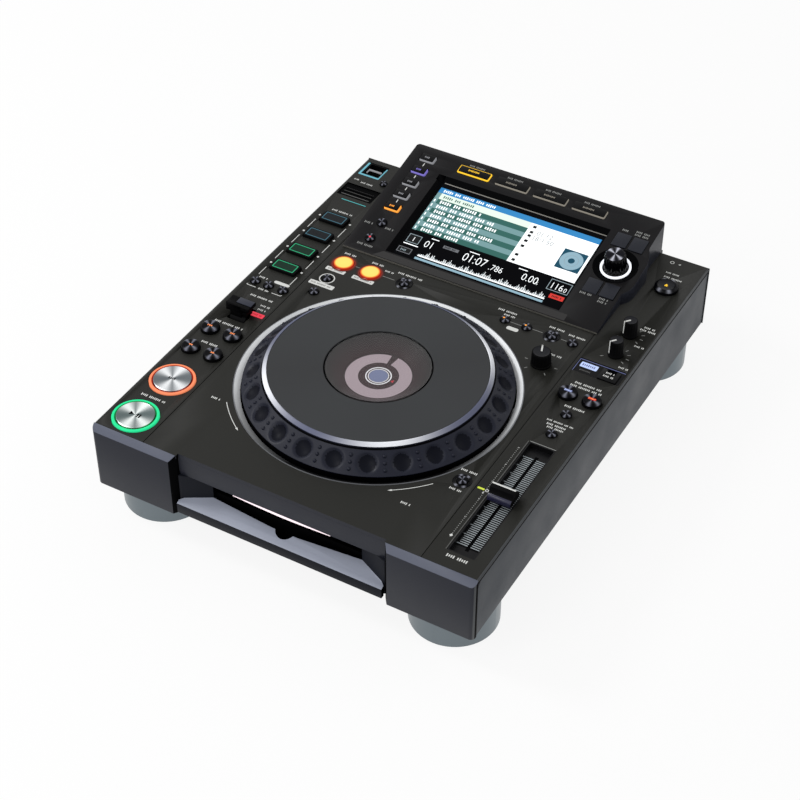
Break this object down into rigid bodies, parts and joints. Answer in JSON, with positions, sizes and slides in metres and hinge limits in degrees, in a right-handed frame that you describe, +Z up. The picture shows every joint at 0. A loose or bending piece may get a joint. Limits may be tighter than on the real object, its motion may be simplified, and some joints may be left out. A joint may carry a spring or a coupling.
{
  "type": "dj disc player",
  "caption": "Tabletop disc player for DJs with a slot-loading drive, tilted touch display, large jog wheel, lit transport keys, performance pads, tempo fader and round feet.",
  "frame": {"origin": "centre of the case's bounding box on the table, under the feet", "axes": "+Z up, the front with the disc slot towards -Y, +X to the user's right when facing the front"},
  "size_m": [0.32, 0.406, 0.1139],
  "materials": {
    "steel": "satin",
    "screw_steel": "satin",
    "side_dark": "satin",
    "case_dark": "satin",
    "lip_grey": "satin",
    "panel_black": "matte",
    "cast_grey": "matte",
    "gloss_black": "gloss",
    "black_plastic": "satin",
    "screen_glass": "gloss",
    "ring_silver": "satin",
    "trim_chrome": "gloss",
    "spun_aluminium": "satin",
    "dial_navy": "satin",
    "platter_grey": "matte",
    "pad_rubber": "satin",
    "lamp": "gloss",
    "feet_grey": "satin",
    "board_green": "satin",
    "board_tan": "satin",
    "socket_grey": "satin"
  },
  "bodies": {
    "chassis": {"base_chassis": "steel", "side_panels": "side_dark", "front_bezel": "case_dark", "slot_lip": "lip_grey", "slot_light_bar": "lamp", "top_panel": "panel_black", "rear_panel": "steel", "rear_sockets": "socket_grey", "power_inlet": "black_plastic", "display_housing": "gloss_black", "touch_screen": "screen_glass", "lcd_module": "steel", "jog_rim_ring": "ring_silver", "jog_bearing_post": "cast_grey", "jog_display": "screen_glass", "disc_drive_frame": "steel", "main_board": "board_green", "power_supply": "board_tan", "control_boards": "board_green", "media_sockets": "lamp", "tempo_fader_track": "black_plastic", "light_rings": "lamp", "feet": "feet_grey", "screws": "screw_steel"},
    "jog_wheel": {"jog_dial": "dial_navy", "jog_trim_ring": "trim_chrome", "jog_platter": "platter_grey"},
    "play_button_body": {"play_button": "spun_aluminium"},
    "cue_button_body": {"cue_button": "spun_aluminium"},
    "hot_cue_pad_a_body": {"hot_cue_pad_a": "pad_rubber"},
    "hot_cue_pad_b_body": {"hot_cue_pad_b": "pad_rubber"},
    "hot_cue_pad_c_body": {"hot_cue_pad_c": "pad_rubber"},
    "hot_cue_pad_d_body": {"hot_cue_pad_d": "pad_rubber"},
    "direction_lever_body": {"direction_lever": "black_plastic"},
    "track_search_buttons_body": {"track_search_buttons": "gloss_black"},
    "search_buttons_body": {"search_buttons": "gloss_black"},
    "bank_buttons_body": {"bank_buttons": "black_plastic"},
    "sd_door_body": {"sd_door": "black_plastic"},
    "loop_in_button_body": {"loop_in_button": "lamp"},
    "loop_out_button_body": {"loop_out_button": "lamp"},
    "reloop_button_body": {"reloop_button": "black_plastic"},
    "slip_buttons_body": {"slip_buttons": "black_plastic"},
    "memory_buttons_body": {"memory_buttons": "black_plastic"},
    "tempo_buttons_body": {"tempo_buttons": "black_plastic"},
    "jog_adjust_knob_body": {"jog_adjust_knob": "black_plastic"},
    "eject_button_body": {"eject_button": "gloss_black"},
    "release_speed_knob_body": {"release_speed_knob": "black_plastic"},
    "brake_speed_knob_body": {"brake_speed_knob": "black_plastic"},
    "jog_mode_button_body": {"jog_mode_button": "gloss_black"},
    "sync_button_body": {"sync_button": "gloss_black"},
    "master_button_body": {"master_button": "gloss_black"},
    "tempo_fader_knob_body": {"tempo_fader_knob": "black_plastic"},
    "source_buttons_body": {"source_buttons": "gloss_black"},
    "display_side_buttons_body": {"display_side_buttons": "black_plastic"},
    "menu_buttons_body": {"menu_buttons": "gloss_black"},
    "browse_buttons_body": {"browse_buttons": "gloss_black"},
    "rotary_selector_body": {"rotary_selector": "gloss_black"},
    "power_button_body": {"power_button": "black_plastic"},
    "disc_spindle_body": {"disc_spindle": "socket_grey"},
    "pickup_sled_body": {"pickup_sled": "black_plastic"}
  },
  "joints": [
    {"name": "jog_wheel_turn", "type": "hinge", "parent": "chassis", "child": "jog_wheel", "pos_m": [0, -0.0575, 0.0825], "axis": [0, 0, 1], "continuous": true},
    {"name": "play_button_press", "type": "slide", "parent": "chassis", "child": "play_button_body", "axis": [0, 0, -1], "range_m": [0, 0.0008], "stiffness_N_per_m": 350, "springref_m": -0.0015},
    {"name": "cue_button_press", "type": "slide", "parent": "chassis", "child": "cue_button_body", "axis": [0, 0, -1], "range_m": [0, 0.0008], "stiffness_N_per_m": 350, "springref_m": -0.0015},
    {"name": "hot_cue_pad_a_press", "type": "slide", "parent": "chassis", "child": "hot_cue_pad_a_body", "axis": [0, 0, -1], "range_m": [0, 0.0008], "stiffness_N_per_m": 150, "springref_m": -0.001},
    {"name": "hot_cue_pad_b_press", "type": "slide", "parent": "chassis", "child": "hot_cue_pad_b_body", "axis": [0, 0, -1], "range_m": [0, 0.0008], "stiffness_N_per_m": 150, "springref_m": -0.001},
    {"name": "hot_cue_pad_c_press", "type": "slide", "parent": "chassis", "child": "hot_cue_pad_c_body", "axis": [0, 0, -1], "range_m": [0, 0.0008], "stiffness_N_per_m": 150, "springref_m": -0.001},
    {"name": "hot_cue_pad_d_press", "type": "slide", "parent": "chassis", "child": "hot_cue_pad_d_body", "axis": [0, 0, -1], "range_m": [0, 0.0008], "stiffness_N_per_m": 150, "springref_m": -0.001},
    {"name": "direction_lever_turn", "type": "hinge", "parent": "chassis", "child": "direction_lever_body", "pos_m": [-0.136, -0.038, 0.0765], "axis": [1, 0, 0], "range_deg": [-15, 15]},
    {"name": "track_search_buttons_press", "type": "slide", "parent": "chassis", "child": "track_search_buttons_body", "axis": [0, 0, -1], "range_m": [0, 0.0008], "stiffness_N_per_m": 150, "springref_m": -0.001},
    {"name": "search_buttons_press", "type": "slide", "parent": "chassis", "child": "search_buttons_body", "axis": [0, 0, -1], "range_m": [0, 0.0008], "stiffness_N_per_m": 150, "springref_m": -0.001},
    {"name": "bank_buttons_press", "type": "slide", "parent": "chassis", "child": "bank_buttons_body", "axis": [0, 0, -1], "range_m": [0, 0.0008], "stiffness_N_per_m": 150, "springref_m": -0.001},
    {"name": "sd_door_turn", "type": "hinge", "parent": "chassis", "child": "sd_door_body", "pos_m": [-0.14025, 0.1567, 0.0809], "axis": [-1, 0, 0], "range_deg": [0, 80]},
    {"name": "loop_in_button_press", "type": "slide", "parent": "chassis", "child": "loop_in_button_body", "axis": [0, 0, -1], "range_m": [0, 0.0008], "stiffness_N_per_m": 150, "springref_m": -0.001},
    {"name": "loop_out_button_press", "type": "slide", "parent": "chassis", "child": "loop_out_button_body", "axis": [0, 0, -1], "range_m": [0, 0.0008], "stiffness_N_per_m": 150, "springref_m": -0.001},
    {"name": "reloop_button_press", "type": "slide", "parent": "chassis", "child": "reloop_button_body", "axis": [0, 0, -1], "range_m": [0, 0.0008], "stiffness_N_per_m": 150, "springref_m": -0.001},
    {"name": "slip_buttons_press", "type": "slide", "parent": "chassis", "child": "slip_buttons_body", "axis": [0, 0, -1], "range_m": [0, 0.0008], "stiffness_N_per_m": 150, "springref_m": -0.001},
    {"name": "memory_buttons_press", "type": "slide", "parent": "chassis", "child": "memory_buttons_body", "axis": [0, 0, -1], "range_m": [0, 0.0008], "stiffness_N_per_m": 150, "springref_m": -0.001},
    {"name": "tempo_buttons_press", "type": "slide", "parent": "chassis", "child": "tempo_buttons_body", "axis": [0, 0, -1], "range_m": [0, 0.0008], "stiffness_N_per_m": 150, "springref_m": -0.001},
    {"name": "jog_adjust_knob_turn", "type": "hinge", "parent": "chassis", "child": "jog_adjust_knob_body", "pos_m": [0.095, 0.0245, 0.0825], "axis": [0, 0, 1], "range_deg": [-150, 150]},
    {"name": "eject_button_press", "type": "slide", "parent": "chassis", "child": "eject_button_body", "axis": [0, 0, -1], "range_m": [0, 0.0008], "stiffness_N_per_m": 150, "springref_m": -0.001},
    {"name": "release_speed_knob_turn", "type": "hinge", "parent": "chassis", "child": "release_speed_knob_body", "pos_m": [0.1392, 0.0895, 0.0825], "axis": [0, 0, 1], "range_deg": [-150, 150]},
    {"name": "brake_speed_knob_turn", "type": "hinge", "parent": "chassis", "child": "brake_speed_knob_body", "pos_m": [0.1397, 0.0624, 0.0825], "axis": [0, 0, 1], "range_deg": [-150, 150]},
    {"name": "jog_mode_button_press", "type": "slide", "parent": "chassis", "child": "jog_mode_button_body", "axis": [0, 0, -1], "range_m": [0, 0.0008], "stiffness_N_per_m": 150, "springref_m": -0.001},
    {"name": "sync_button_press", "type": "slide", "parent": "chassis", "child": "sync_button_body", "axis": [0, 0, -1], "range_m": [0, 0.0008], "stiffness_N_per_m": 150, "springref_m": -0.001},
    {"name": "master_button_press", "type": "slide", "parent": "chassis", "child": "master_button_body", "axis": [0, 0, -1], "range_m": [0, 0.0008], "stiffness_N_per_m": 150, "springref_m": -0.001},
    {"name": "tempo_fader_slide", "type": "slide", "parent": "chassis", "child": "tempo_fader_knob_body", "axis": [0, -1, 0], "range_m": [-0.05, 0.05]},
    {"name": "source_buttons_press", "type": "slide", "parent": "chassis", "child": "source_buttons_body", "axis": [0, 0.2079, -0.9781], "range_m": [0, 0.0008], "stiffness_N_per_m": 150, "springref_m": -0.001},
    {"name": "display_side_buttons_press", "type": "slide", "parent": "chassis", "child": "display_side_buttons_body", "axis": [0, 0.2079, -0.9781], "range_m": [0, 0.0008], "stiffness_N_per_m": 150, "springref_m": -0.001},
    {"name": "menu_buttons_press", "type": "slide", "parent": "chassis", "child": "menu_buttons_body", "axis": [0, 0.2079, -0.9781], "range_m": [0, 0.0008], "stiffness_N_per_m": 150, "springref_m": -0.001},
    {"name": "browse_buttons_press", "type": "slide", "parent": "chassis", "child": "browse_buttons_body", "axis": [0, 0.2079, -0.9781], "range_m": [0, 0.0008], "stiffness_N_per_m": 150, "springref_m": -0.001},
    {"name": "rotary_selector_turn", "type": "hinge", "parent": "chassis", "child": "rotary_selector_body", "pos_m": [0.1002, 0.14499, 0.09835], "axis": [0, -0.2079, 0.9781], "continuous": true},
    {"name": "power_button_press", "type": "slide", "parent": "chassis", "child": "power_button_body", "axis": [0, -1, 0], "range_m": [0, 0.0008], "stiffness_N_per_m": 400, "springref_m": -0.002},
    {"name": "disc_spindle_turn", "type": "hinge", "parent": "chassis", "child": "disc_spindle_body", "pos_m": [0, -0.105, 0.05], "axis": [0, 0, 1], "continuous": true},
    {"name": "pickup_sled_slide", "type": "slide", "parent": "chassis", "child": "pickup_sled_body", "axis": [0, 1, 0], "range_m": [0, 0.025]}
  ]
}
